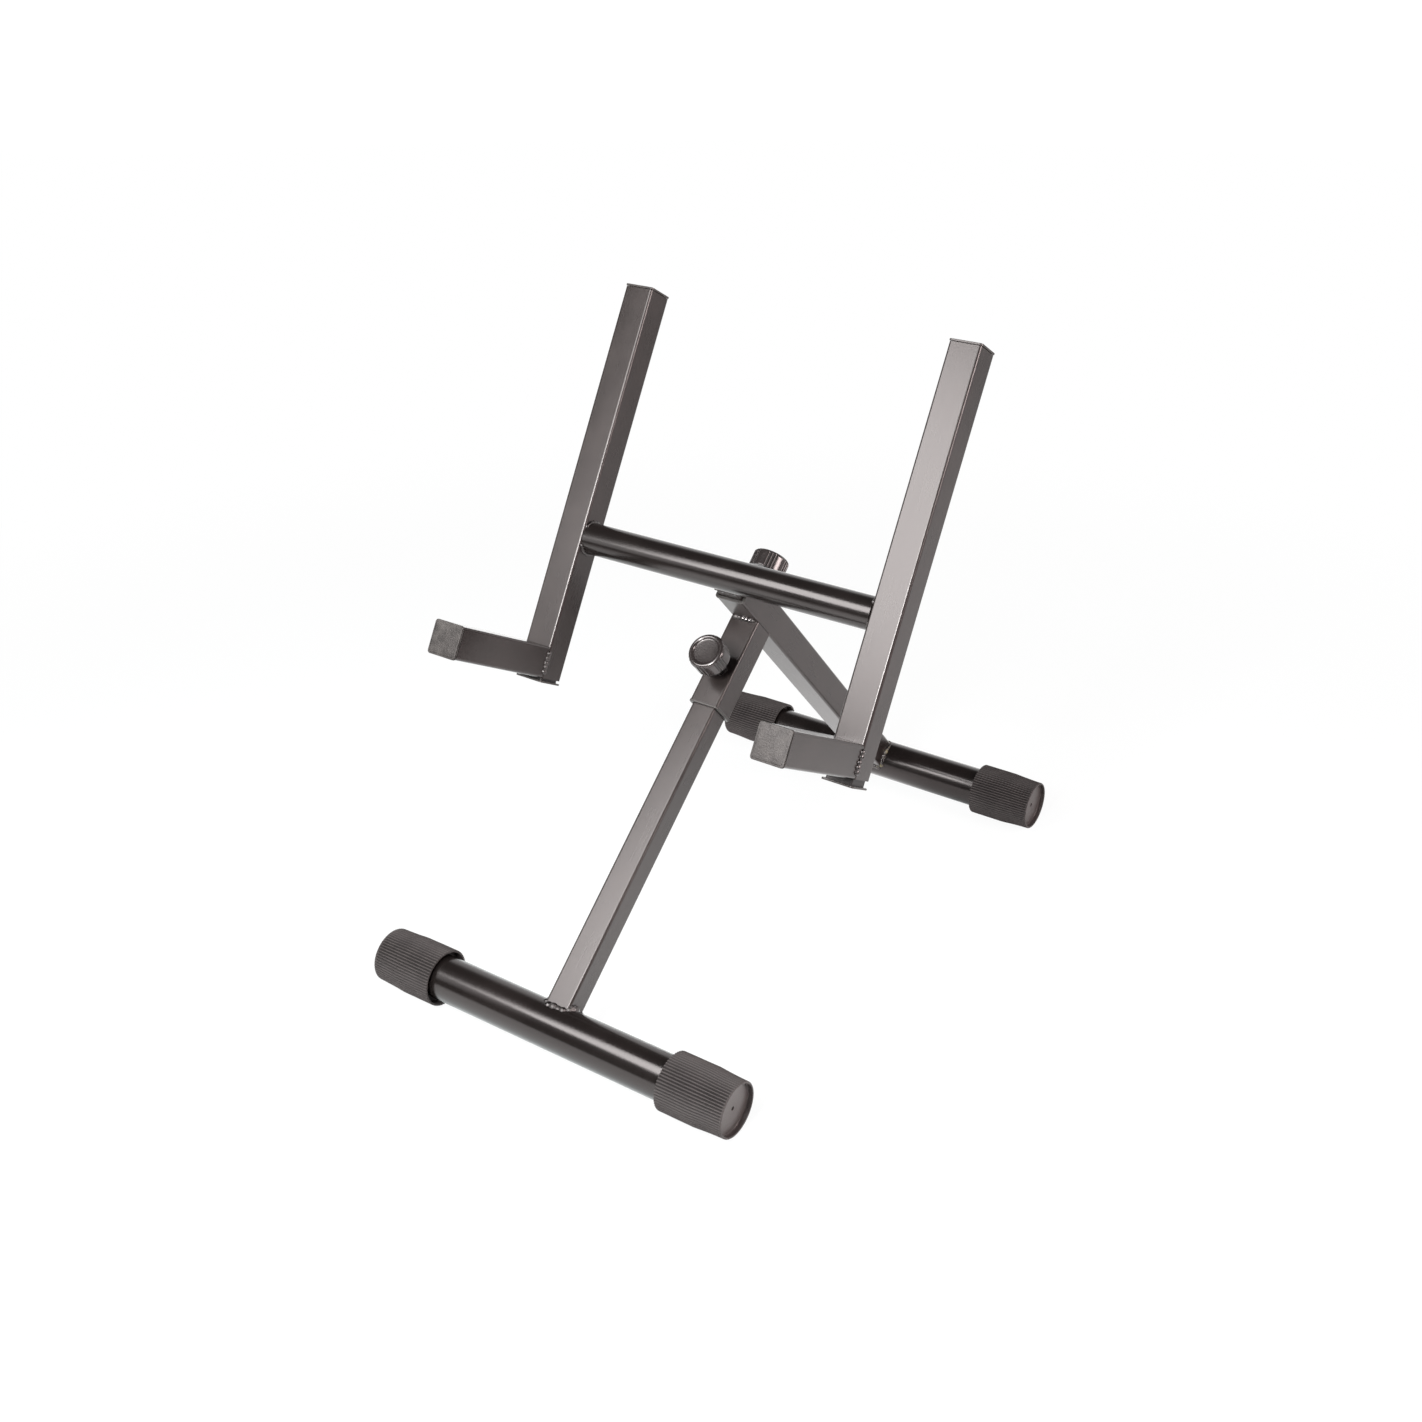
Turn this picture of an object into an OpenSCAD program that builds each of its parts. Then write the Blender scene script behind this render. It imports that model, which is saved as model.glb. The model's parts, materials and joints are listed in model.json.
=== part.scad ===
// Folding amplifier stand: a tilted cradle on a crossed two-leg frame.
// The rear leg is a square tube welded to the rear base tube. A short square sleeve is
// welded under it, and the front leg telescopes in that sleeve. The cradle hangs on a
// square post that telescopes in the rear leg's open top end. A fluted hand knob
// clamps each of the two telescoping tubes.
// Frame: +Z up, -Y towards the amplifier and the person facing it, +X to their right.
// Origin: on the floor, midway between the two base tubes. All sizes are millimetres.

/* [Square tube] */
// Outer width of the square steel tube
tube_w = 30; // [26:0.5:36]
// Wall of the square tube
tube_wall = 1.5; // [1:0.1:2.2]
// Outer radius of the square tube's corners
corner_r = 2.5; // [1.5:0.1:4]

/* [Telescoping fit] */
// Wall of the plastic bushes between the two tubes
bush_wall = 0.8; // [0.5:0.1:1.5]
// Length of a bush inside its tube
bush_len = 24; // [12:1:30]
// Thickness of a bush's lip
bush_lip = 2.5; // [1.5:0.5:3]
// Running clearance on each side of a telescoping tube
slide_clear = 0.1; // [0.05:0.05:0.3]
// Clearance on each side of a bush or plug in its tube
seat_clear = 0.1; // [0.05:0.05:0.2]

/* [Base] */
// Overall length of each base over its rubber feet
base_span = 380; // [300:5:480]
// Diameter of the round base tubes
base_tube_d = 41; // [38:0.5:46]
// Wall of the round base tubes
base_tube_wall = 1.5; // [1:0.1:3]
// Lean of the rear leg from the vertical, in degrees
rear_lean = 43; // [36:0.5:48]
// Lean of the front leg from the vertical, in degrees
front_lean = 49.3; // [44:0.1:54]
// Rear leg, from the rear base's axis to its top end
rear_leg_len = 428; // [390:1:460]

/* [Front sleeve] */
// Sleeve's centreline below the rear leg's top end
sleeve_drop = 52; // [48:1:90]
// How far the front leg can be drawn out of the sleeve
front_leg_travel = 35; // [20:1:40]
// Length of the front leg left in the sleeve when it is drawn right out
front_leg_grip = 49.9; // [45:0.1:80]
// Gap left above the front leg when it is pushed home
home_gap = 1.5; // [0.5:0.5:5]

/* [Cradle] */
// Overall width of the cradle
cradle_w = 365; // [300:5:450]
// Lean of the uprights from the vertical, in degrees
cradle_lean = 29.6; // [22:0.1:36]
// Length of an upright without its plugs
upright_len = 373; // [300:1:450]
// Length of an arm without its cap
arm_len = 130; // [80:1:200]
// Diameter of the round crossbar
crossbar_d = 30; // [28:0.5:32]
// Wall of the round crossbar
crossbar_wall = 1.5; // [1:0.1:2.5]
// Height of the crossbar's axis above the uprights' lower ends
crossbar_height = 138; // [110:1:180]
// Crossbar's axis above the rear leg's top end, at the lowest setting
crossbar_lift = 24; // [22:0.5:40]
// How far the cradle can be raised
post_travel = 120; // [60:5:130]
// Length of the post left in the rear leg when the cradle is fully raised
post_grip = 80; // [60:1:120]

/* [Plugs and caps] */
// Thickness of a plug's flange
plug_flange = 2.5; // [1.5:0.5:4]
// How far a flange or cap stands proud of its tube on each side
plug_overhang = 0.5; // [0:0.1:1]
// Depth of a plug in its tube
plug_depth = 16; // [12:1:25]
// Inset of a plug's core from its fins
plug_core_inset = 0.6; // [0.4:0.1:3]
// Gap over the left bottom plug, which isn't pushed home
left_plug_gap = 2; // [0:0.5:5]
// Gap over the right bottom plug, which isn't pushed home
right_plug_gap = 5.5; // [0:0.5:7]
// Thickness of an arm's domed cap
arm_cap_t = 4.5; // [4:0.5:8]
// Radius of the dome on an arm's cap
arm_cap_dome = 90; // [60:5:200]

/* [Rubber feet] */
// Diameter of a foot over its ribs
foot_d = 53.5; // [51:0.5:60]
// Diameter of a foot at its outer end
foot_end_d = 50.5; // [47:0.5:53]
// Length over which a foot narrows to its outer end
foot_taper = 22; // [10:1:35]
// Length of a foot along the base tube
foot_len = 65; // [40:1:80]
// Number of ribs round a foot
foot_ribs = 60; // [40:4:100]
// Depth of the grooves between the ribs
foot_rib_depth = 0.9; // [0.3:0.1:1.2]
// Width of the rim round a foot's open mouth
foot_mouth_rim = 1.5; // [1:0.1:3]
// Depth of the recess between that rim and the base tube
foot_mouth_recess = 8; // [2:0.5:20]
// Width of the rim round the foot's end
foot_rim = 2.7; // [1.5:0.1:3.5]
// Depth of the dished end inside the rim
foot_recess = 3; // [1:0.5:5]
// Thickness of the web that closes the foot
foot_web = 4; // [2:0.5:6]
// Radial clearance of a foot on its tube
foot_clear = 0.1; // [0:0.05:0.2]

/* [Knobs] */
// Diameter of a knob
knob_d = 35; // [30:0.5:45]
// Height of a knob
knob_h = 17; // [15:0.5:25]
// Groups of grooves round a knob
knob_groups = 6; // [4:1:8]
// Grooves in each group
knob_grooves = 3; // [2:1:4]
// Angle between neighbouring grooves of a group, in degrees
knob_groove_step = 11; // [9:0.5:14]
// Radius of a groove
knob_groove_r = 1.1; // [0.6:0.1:1.6]
// Front knob's underside above the sleeve's face when clamped
front_knob_gap = 20; // [12:0.5:26]
// Rear knob's underside above the rear leg's face when clamped
rear_knob_gap = 18; // [12:0.5:26]
// Front knob's axis above the sleeve's lower end
front_knob_height = 35; // [30:1:45]
// Rear knob's axis below the rear leg's top end
rear_knob_drop = 35; // [30:1:60]
// Diameter of a clamp screw
screw_d = 8; // [6:0.5:10]
// Length of a clamp screw inside its knob
screw_in_knob = 12; // [8:0.5:13]
// Radial clearance of the screw in its nut and knob
thread_clear = 0.05; // [0.02:0.01:0.1]
// Gap between a clamped screw's tip and the tube it presses on
tip_gap = 0.1; // [0:0.05:0.3]
// Width across flats of a weld nut
nut_w = 14; // [12:0.5:19]
// Height of a weld nut
nut_h = 8; // [5:0.5:10]

/* [Welds] */
// Radius of a weld bead's round face
bead_r = 2.6; // [1.5:0.1:3.5]
// Thickness of the weld round a tube coped onto a round bar
saddle_bead_t = 1.8; // [1:0.1:2.5]
// How far the arms' side beads are sunk below the tubes' side faces
bead_sink = 1; // [0.5:0.1:1.4]
// How far the sleeve's beads stand out of their corners
bead_lift = 0.5; // [0.3:0.1:1]

/* [Hidden] */
$fn = 96;
eps = 0.01;
past = 1;
bead_end_inset = 0.5;
tube_bore = tube_w - 2 * tube_wall;
leg_w = tube_bore - 2 * (seat_clear + bush_wall + slide_clear);
inner_corner_r = max(corner_r - tube_wall, 0.5);
foot_r = foot_d / 2;
foot_end_r = foot_end_d / 2;
base_r = base_tube_d / 2;
crossbar_r = crossbar_d / 2;
knob_r = knob_d / 2;
lip_w = tube_w + 2 * plug_overhang;
lip_corner_r = corner_r + plug_overhang;

// The two legs cross where the sleeve's centreline meets the rear leg's.
cross_on_rear = rear_leg_len - sleeve_drop;
cross_on_front = cross_on_rear * cos(rear_lean) / cos(front_lean);
base_gap = cross_on_rear * sin(rear_lean) + cross_on_front * sin(front_lean);

// The sleeve is mitred to the rear leg's underside, a little off square.
mitre = rear_lean + front_lean - 90;
sleeve_top = cross_on_front - tube_w / 2 / cos(mitre);
mitre_rise = tube_w / 2 * tan(abs(mitre));
glide_lip = 2;
front_leg_end = sleeve_top - mitre_rise - home_gap - glide_lip;
sleeve_end = front_leg_end - front_leg_travel - front_leg_grip;
sleeve_len = sleeve_top - sleeve_end;
front_knob_at = sleeve_end + front_knob_height;
rear_knob_at = rear_leg_len - rear_knob_drop;

// Cradle, in a frame with its origin on the crossbar's axis.
crossbar_at = rear_leg_len + crossbar_lift;
inner_x = cradle_w / 2 - tube_w;
upright_x = cradle_w / 2 - tube_w / 2;
upright_low = -crossbar_height;
upright_high = upright_len - crossbar_height;
post_len = crossbar_lift + post_travel + post_grip;

// ---- Frames ----

// Front base's axis, with +Z up the front leg and -Y out of its front face.
module front_leg_frame() {
  translate([0, -base_gap / 2, foot_r]) rotate([-front_lean, 0, 0]) children();
}

// Rear base's axis, with +Z up the rear leg and +Y out of its upper face.
module rear_leg_frame() {
  translate([0, base_gap / 2, foot_r]) rotate([rear_lean, 0, 0]) children();
}

// Crossbar's axis, with +Z up the uprights and -Y along the arms.
module cradle_frame() {
  rear_leg_frame() translate([0, 0, crossbar_at])
    rotate([-(rear_lean + cradle_lean), 0, 0]) children();
}

// Centre of the front knob on the sleeve's front face, with +Z out of the face.
module front_knob_frame() {
  front_leg_frame() translate([0, -tube_w / 2, front_knob_at]) rotate([90, 0, 0]) children();
}

// Centre of the rear knob on the rear leg's upper face, with +Z out of the face.
module rear_knob_frame() {
  rear_leg_frame() translate([0, tube_w / 2, rear_knob_at]) rotate([-90, 0, 0]) children();
}

// The right-hand piece as drawn, or its mirror image on the left.
module on_side(side) {
  if (side == "left") mirror([1, 0, 0]) children();
  else children();
}

// ---- Stock ----

// Square with round corners.
module round_square(w, r) {
  inner = w - 2 * r;
  square([w, inner], center = true);
  square([inner, w], center = true);
  for (x = [-1, 1], y = [-1, 1]) translate([x * inner / 2, y * inner / 2]) circle(r);
}

module square_bar(w, r, length) {
  linear_extrude(height = length) round_square(w, r);
}

module square_tube(w, r, wall, length) {
  linear_extrude(height = length) difference() {
    round_square(w, r);
    round_square(w - 2 * wall, max(r - wall, 0.5));
  }
}

// Cylinder along X, centred on the origin.
module bar_x(r, length) {
  rotate([0, 90, 0]) cylinder(h = length, r = r, center = true);
}

module round_tube_x(d, wall, length) {
  difference() {
    bar_x(d / 2, length);
    bar_x(d / 2 - wall, length + 2 * past);
  }
}

// ---- Welds ----

// Collar of weld round a square tube that is coped onto a round bar lying along X.
module saddle_bead(w, bar_r) {
  difference() {
    intersection() {
      square_bar(w + 2 * saddle_bead_t, corner_r + saddle_bead_t, bar_r + 2 * saddle_bead_t);
      bar_x(bar_r + saddle_bead_t, w + 4 * saddle_bead_t);
    }
    bar_x(bar_r, w + 6 * saddle_bead_t);
    translate([0, 0, -past]) square_bar(w, corner_r, bar_r + 4 * saddle_bead_t);
  }
}

// ---- Plugs, bushes and caps ----

// Square core with three thin fins that grip the inside of a tube, below z = 0.
module finned_core(bore, gap = 0) {
  core_w = bore - 2 * (seat_clear + plug_core_inset);
  fin_w = bore - 2 * seat_clear;
  fin_t = 1.2;
  translate([0, 0, -plug_depth]) square_bar(core_w, inner_corner_r, plug_depth + gap);
  for (i = [0 : 2])
    translate([0, 0, -plug_depth + 1 + i * (plug_depth - 4) / 2])
      square_bar(fin_w, inner_corner_r, fin_t);
}

// Flat plug, its flange standing above the tube's end by the gap.
module flat_plug(gap = 0) {
  edge = min(0.6, plug_flange / 3);
  finned_core(tube_bore, gap);
  translate([0, 0, gap]) square_bar(lip_w, lip_corner_r, plug_flange - edge);
  translate([0, 0, gap + plug_flange - edge])
    square_bar(lip_w - 2 * edge, lip_corner_r - edge, edge);
}

// Thick plug with a domed face.
module domed_cap() {
  finned_core(tube_bore);
  intersection() {
    square_bar(lip_w, lip_corner_r, arm_cap_t);
    translate([0, 0, arm_cap_t - arm_cap_dome]) sphere(arm_cap_dome, $fn = 200);
  }
}

// Thin square bush with a lip over the tube's end, which is at z = 0.
module lipped_bush() {
  hole_w = leg_w + 2 * slide_clear;
  difference() {
    union() {
      translate([0, 0, -bush_len]) square_bar(tube_bore - 2 * seat_clear, inner_corner_r, bush_len);
      square_bar(lip_w, lip_corner_r, bush_lip);
    }
    translate([0, 0, -bush_len - past])
      square_bar(hole_w, corner_r, bush_len + bush_lip + 2 * past);
  }
}

// Glide plug in the hidden end of a telescoping tube, whose end is at z = 0.
module glide_plug() {
  finned_core(leg_w - 2 * tube_wall);
  square_bar(tube_bore - 2 * (seat_clear + slide_clear), inner_corner_r, glide_lip);
}

// ---- Rubber foot ----

// Ribbed rubber foot over the right-hand end of a base tube. A cone trims the ribs
// towards the outer end.
module foot(side) {
  end_edge = 1;
  slope = (foot_r - foot_end_r) / foot_taper;
  step = 360 / foot_ribs;
  bore_len = foot_len - foot_recess - foot_web;
  crests = [for (i = [0 : foot_ribs - 1], k = [0, 1])
    let (a = (i + k / 2) * step, r = foot_r - k * foot_rib_depth) [r * cos(a), r * sin(a)]];
  on_side(side) translate([base_span / 2 - foot_len, 0, 0]) rotate([0, 90, 0]) difference() {
    intersection() {
      linear_extrude(height = foot_len) polygon(crests);
      union() {
        cylinder(h = foot_len - end_edge, r1 = foot_end_r + slope * foot_len,
                 r2 = foot_end_r + slope * end_edge);
        translate([0, 0, foot_len - end_edge])
          cylinder(h = end_edge, r1 = foot_end_r + slope * end_edge, r2 = foot_end_r - end_edge);
      }
    }
    translate([0, 0, -past]) cylinder(h = bore_len + past, r = base_r + foot_clear);
    translate([0, 0, -past])
      cylinder(h = foot_mouth_recess + past, r = foot_r - foot_rib_depth - foot_mouth_rim);
    translate([0, 0, foot_len - foot_recess])
      cylinder(h = foot_recess + past, r = foot_end_r - foot_rim);
  }
}

module base_tube() {
  round_tube_x(base_tube_d, base_tube_wall, base_span - 2 * (foot_recess + foot_web));
}

// ---- Rear frame ----

module rear_base_tube() {
  color("#1c1816") translate([0, base_gap / 2, foot_r]) base_tube();
}

module rear_foot(side) {
  color("#4a4341") translate([0, base_gap / 2, foot_r]) foot(side);
}

module rear_leg_tube() {
  color("#5f5654") rear_leg_frame() difference() {
    square_tube(tube_w, corner_r, tube_wall, rear_leg_len);
    bar_x(base_r, tube_w + 2 * past);
    translate([0, 0, rear_knob_at]) screw_hole();
  }
}

// Clearance hole for a clamp screw through the +Y wall of a tube.
module screw_hole() {
  rotate([-90, 0, 0]) cylinder(h = tube_w, r = screw_d / 2 + 0.5);
}

module rear_leg_weld() {
  color("#2a2320") rear_leg_frame() saddle_bead(tube_w, base_r);
}

module rear_leg_bush() {
  color("#262322") rear_leg_frame() translate([0, 0, rear_leg_len]) lipped_bush();
}

// Hexagonal nut welded over a screw hole.
module weld_nut() {
  difference() {
    cylinder(h = nut_h, r = nut_w / 2 / cos(30), $fn = 6);
    translate([0, 0, -past]) cylinder(h = nut_h + 2 * past, r = screw_d / 2 + thread_clear);
  }
}

module rear_lock_nut() {
  color("#2b2725") rear_knob_frame() weld_nut();
}

// Short sleeve for the front leg, mitred to the rear leg's underside.
module front_sleeve() {
  color("#5b5351") difference() {
    front_leg_frame() difference() {
      translate([0, 0, sleeve_end])
        square_tube(tube_w, corner_r, tube_wall, sleeve_len + mitre_rise + past);
      translate([0, 0, front_knob_at]) mirror([0, 1, 0]) screw_hole();
    }
    rear_leg_frame() translate([0, 0, cross_on_rear])
      cube([2 * tube_w, tube_w, 3 * tube_w], center = true);
  }
}

// Two beads across the corners between the sleeve and the rear leg.
module sleeve_weld() {
  color("#2a2320") difference() {
    rear_leg_frame() for (z = [-1, 1])
      translate([0, -tube_w / 2 - bead_lift, cross_on_rear + z * (tube_w / 2 / cos(mitre) + bead_lift)])
        bar_x(bead_r, tube_w - 2 * (corner_r + bead_end_inset));
    rear_leg_frame() square_bar(tube_w, corner_r, rear_leg_len);
    front_leg_frame() translate([0, 0, sleeve_end])
      square_bar(tube_w, corner_r, sleeve_len + tube_w);
  }
}

module sleeve_bush() {
  color("#262322") front_leg_frame() translate([0, 0, sleeve_end]) mirror([0, 0, 1]) lipped_bush();
}

module front_lock_nut() {
  color("#2b2725") front_knob_frame() weld_nut();
}

// ---- Front leg ----

module front_base_tube() {
  color("#1c1816") translate([0, -base_gap / 2, foot_r]) base_tube();
}

module front_foot(side) {
  color("#4a4341") translate([0, -base_gap / 2, foot_r]) foot(side);
}

module front_leg_tube() {
  color("#6b6260") front_leg_frame() difference() {
    square_tube(leg_w, corner_r, tube_wall, front_leg_end);
    bar_x(base_r, leg_w + 2 * past);
  }
}

module front_leg_weld() {
  color("#2a2320") front_leg_frame() saddle_bead(leg_w, base_r);
}

module front_leg_glide() {
  color("#262322") front_leg_frame() translate([0, 0, front_leg_end]) glide_plug();
}

// ---- Cradle ----

module upright(side) {
  color("#8d8582") cradle_frame() on_side(side) translate([upright_x, 0, upright_low])
    square_tube(tube_w, corner_r, tube_wall, upright_len);
}

// Arm butted against the upright's front face, flush with its lower end.
module arm(side) {
  color("#6d6563") cradle_frame() on_side(side) arm_frame()
    square_tube(tube_w, corner_r, tube_wall, arm_len);
}

// Foot of the upright's front face, with +Z out along the arm.
module arm_frame() {
  translate([upright_x, -tube_w / 2, upright_low + tube_w / 2]) rotate([90, 0, 0]) children();
}

// Beads down both side seams between an arm and its upright.
module arm_weld(side) {
  bead_len = tube_w - 2 * corner_r;
  color("#2a2320") cradle_frame() on_side(side) difference() {
    for (x = [-1, 1])
      translate([upright_x + x * (tube_w / 2 - bead_sink), -tube_w / 2, upright_low + corner_r])
        cylinder(h = bead_len, r = bead_r, $fn = 48);
    translate([upright_x, 0, upright_low]) square_bar(tube_w, corner_r, tube_w);
    arm_frame() square_bar(tube_w, corner_r, arm_len);
  }
}

module arm_cap(side) {
  color("#5d5654") cradle_frame() on_side(side) arm_frame()
    translate([0, 0, arm_len]) domed_cap();
}

module upright_top_plug(side) {
  color("#4b4644") cradle_frame() on_side(side)
    translate([upright_x, 0, upright_high]) flat_plug();
}

module upright_bottom_plug(side) {
  gap = side == "left" ? left_plug_gap : right_plug_gap;
  color("#4b4644") cradle_frame() on_side(side)
    translate([upright_x, 0, upright_low]) mirror([0, 0, 1]) flat_plug(gap);
}

module crossbar() {
  color("#1c1816") cradle_frame() round_tube_x(crossbar_d, crossbar_wall, 2 * inner_x);
}

// Ring of weld round the crossbar's end, within the depth of the upright.
module crossbar_weld(side) {
  color("#2a2320") cradle_frame() on_side(side) intersection() {
    difference() {
      translate([inner_x, 0, 0]) rotate([0, -90, 0])
        rotate_extrude() translate([crossbar_r, 0]) intersection() {
          circle(bead_r, $fn = 32);
          square([2 * bead_r, 2 * bead_r]);
        }
      bar_x(crossbar_r, 2 * inner_x);
    }
    cube([cradle_w, tube_w - 2 * corner_r, crossbar_d + 4 * bead_r], center = true);
  }
}

// Post that carries the cradle, coped onto the crossbar, in the rear leg's frame.
module cradle_post() {
  color("#5f5654") rear_leg_frame() difference() {
    translate([0, 0, crossbar_at - post_len])
      square_tube(leg_w, corner_r, tube_wall, post_len);
    translate([0, 0, crossbar_at]) bar_x(crossbar_r, leg_w + 2 * past);
  }
}

module post_weld() {
  color("#2a2320") rear_leg_frame() translate([0, 0, crossbar_at]) mirror([0, 0, 1])
    saddle_bead(leg_w, crossbar_r);
}

module post_glide() {
  color("#262322") rear_leg_frame() translate([0, 0, crossbar_at - post_len])
    mirror([0, 0, 1]) glide_plug();
}

// ---- Clamp knobs ----

// Screw from its tip inside the tube to its head inside the knob.
module lock_screw(gap) {
  tip = -(tube_w - leg_w) / 2 + tip_gap;
  point = 1;
  translate([0, 0, tip]) cylinder(h = point, r1 = screw_d / 2 - point, r2 = screw_d / 2);
  translate([0, 0, tip + point])
    cylinder(h = gap + screw_in_knob - tip - point, r = screw_d / 2);
}

// Fluted knob with a dished top, a raised ring round the dish and a hollow underside.
module lock_knob(gap) {
  shoulder = 2.4;
  ring_w = 1;
  dish_depth = 2;
  dish_edge_r = knob_r - shoulder - ring_w;
  dish_r = (dish_edge_r * dish_edge_r + dish_depth * dish_depth) / 2 / dish_depth;
  skirt = 3.5;
  boss_r = screw_d / 2 + 4;
  hollow = knob_h - 7;
  group_step = 360 / knob_groups;
  first = -(knob_grooves - 1) / 2 * knob_groove_step;
  translate([0, 0, gap]) difference() {
    rotate_extrude() {
      square([knob_r - shoulder, knob_h]);
      square([knob_r, knob_h - shoulder]);
      translate([knob_r - shoulder, knob_h - shoulder]) circle(shoulder);
    }
    for (g = [0 : knob_groups - 1], i = [0 : knob_grooves - 1])
      rotate([0, 0, g * group_step + first + i * knob_groove_step])
        translate([knob_r + knob_groove_r / 3, 0, -past])
          cylinder(h = knob_h - shoulder / 2 + past, r = knob_groove_r, $fn = 24);
    translate([0, 0, knob_h - dish_depth + dish_r]) sphere(dish_r);
    difference() {
      translate([0, 0, -past]) cylinder(h = hollow + past, r = knob_r - skirt);
      translate([0, 0, -2 * past]) cylinder(h = hollow + 3 * past, r = boss_r);
    }
    translate([0, 0, -past])
      cylinder(h = screw_in_knob + past + eps, r = screw_d / 2 + thread_clear);
  }
}

module front_lock_screw() {
  color("#8f8a86") front_knob_frame() lock_screw(front_knob_gap);
}

module front_lock_knob() {
  color("#231f1e") front_knob_frame() lock_knob(front_knob_gap);
}

module rear_lock_screw() {
  color("#8f8a86") rear_knob_frame() lock_screw(rear_knob_gap);
}

module rear_lock_knob() {
  color("#231f1e") rear_knob_frame() lock_knob(rear_knob_gap);
}

rear_base_tube();
rear_foot("left");  // rear_foot_left
rear_foot("right");  // rear_foot_right
rear_leg_tube();
rear_leg_weld();
rear_leg_bush();
rear_lock_nut();
front_sleeve();
sleeve_weld();
sleeve_bush();
front_lock_nut();
front_base_tube();
front_foot("left");  // front_foot_left
front_foot("right");  // front_foot_right
front_leg_tube();
front_leg_weld();
front_leg_glide();
upright("left");  // upright_left
upright("right");  // upright_right
arm("left");  // arm_left
arm("right");  // arm_right
arm_weld("left");  // arm_weld_left
arm_weld("right");  // arm_weld_right
arm_cap("left");  // arm_cap_left
arm_cap("right");  // arm_cap_right
upright_top_plug("left");  // upright_top_plug_left
upright_top_plug("right");  // upright_top_plug_right
upright_bottom_plug("left");  // upright_bottom_plug_left
upright_bottom_plug("right");  // upright_bottom_plug_right
crossbar();
crossbar_weld("left");  // crossbar_weld_left
crossbar_weld("right");  // crossbar_weld_right
cradle_post();
post_weld();
post_glide();
front_lock_screw();
front_lock_knob();
rear_lock_screw();
rear_lock_knob();
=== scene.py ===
# %% [markdown]
# # A tilt-back amplifier stand
# A welded stand of square and round steel tube, painted satin black. Two round
# bases with ribbed rubber feet stand on the floor. A leg rises from each, and the
# front leg telescopes in a sleeve under the rear one. A cradle with two uprights
# and two arms sits on top. Two fluted knobs clamp the telescoping tubes.
#
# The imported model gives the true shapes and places. This script dresses it: it
# replaces plain solids with finely rounded pieces, lays real weld beads along the
# seams, and gives every piece its paint, rubber or plastic.

# %% Load the frame
import json
import math

import bmesh
import bpy
from mathutils import Matrix, Vector, noise

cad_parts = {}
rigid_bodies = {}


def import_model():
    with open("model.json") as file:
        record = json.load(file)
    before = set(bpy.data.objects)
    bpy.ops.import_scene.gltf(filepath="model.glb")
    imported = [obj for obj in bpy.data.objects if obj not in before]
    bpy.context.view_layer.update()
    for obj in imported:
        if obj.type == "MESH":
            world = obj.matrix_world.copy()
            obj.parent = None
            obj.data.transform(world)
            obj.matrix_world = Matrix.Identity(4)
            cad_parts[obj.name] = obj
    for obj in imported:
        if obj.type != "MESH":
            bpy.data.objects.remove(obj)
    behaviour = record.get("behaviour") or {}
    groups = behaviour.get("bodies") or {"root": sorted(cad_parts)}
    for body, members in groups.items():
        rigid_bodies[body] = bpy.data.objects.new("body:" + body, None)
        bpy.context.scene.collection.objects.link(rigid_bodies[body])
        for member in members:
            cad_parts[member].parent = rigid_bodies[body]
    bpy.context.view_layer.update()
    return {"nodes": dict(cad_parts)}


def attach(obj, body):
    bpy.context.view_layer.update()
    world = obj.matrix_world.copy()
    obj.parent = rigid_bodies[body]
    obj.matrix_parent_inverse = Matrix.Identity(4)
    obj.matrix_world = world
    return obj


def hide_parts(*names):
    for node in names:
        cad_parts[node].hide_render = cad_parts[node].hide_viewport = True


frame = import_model()
print("pieces in the packed model:", len(frame["nodes"]))

# %% [markdown]
# ## Sizes
# All modelling is done in millimetres, in a handy frame for each part of the
# stand: one that stands up each leg, and one that stands up the cradle. A piece
# is drawn there with simple numbers, and one matrix then carries its points to
# their place in metres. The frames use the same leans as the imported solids.

# %% Leans, lengths and frames
TUBE, CORNER, WALL = 30.0, 2.5, 1.5
INNER, POST_LEN = 25.0, 224.0
BASE_R, FOOT_R, FOOT_LEN, HALF_SPAN = 20.5, 26.75, 65.0, 190.0
BASE_INSET = 7.0  # from the end of a foot to the end of the tube inside it
CROSSBAR_R, CROSSBAR_RISE = 15.0, 24.0
REAR_LEAN, FRONT_LEAN, CRADLE_LEAN = (math.radians(a) for a in (43.0, 49.3, 29.6))
REAR_LEN, CROSS_ON_REAR = 428.0, 376.0
CROSS_ON_FRONT = CROSS_ON_REAR * math.cos(REAR_LEAN) / math.cos(FRONT_LEAN)
BASE_GAP = CROSS_ON_REAR * math.sin(REAR_LEAN) + CROSS_ON_FRONT * math.sin(FRONT_LEAN)
CROSSBAR_AT = REAR_LEN + CROSSBAR_RISE
UPRIGHT_X, UPRIGHT_LOW, UPRIGHT_LEN, ARM_LEN = 167.5, -138.0, 373.0, 130.0
MITRE = REAR_LEAN + FRONT_LEAN - math.pi / 2
SLEEVE_TOP = CROSS_ON_FRONT - TUBE / 2 / math.cos(MITRE)
SLEEVE_LEN, LEG_BELOW_TOP = 89.0, 4.1
SLEEVE_END = SLEEVE_TOP - SLEEVE_LEN
KNOB_FROM_END = 35.0  # from a tube's end to its clamp screw
KNOB_GAP = {"front": 20.0, "rear": 18.0}  # from a tube's face to its knob


def leaning(x, y, z, lean):
    """A frame at a point, leaning about X."""
    return Matrix.Translation((x, y, z)) @ Matrix.Rotation(lean, 4, "X")


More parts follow.
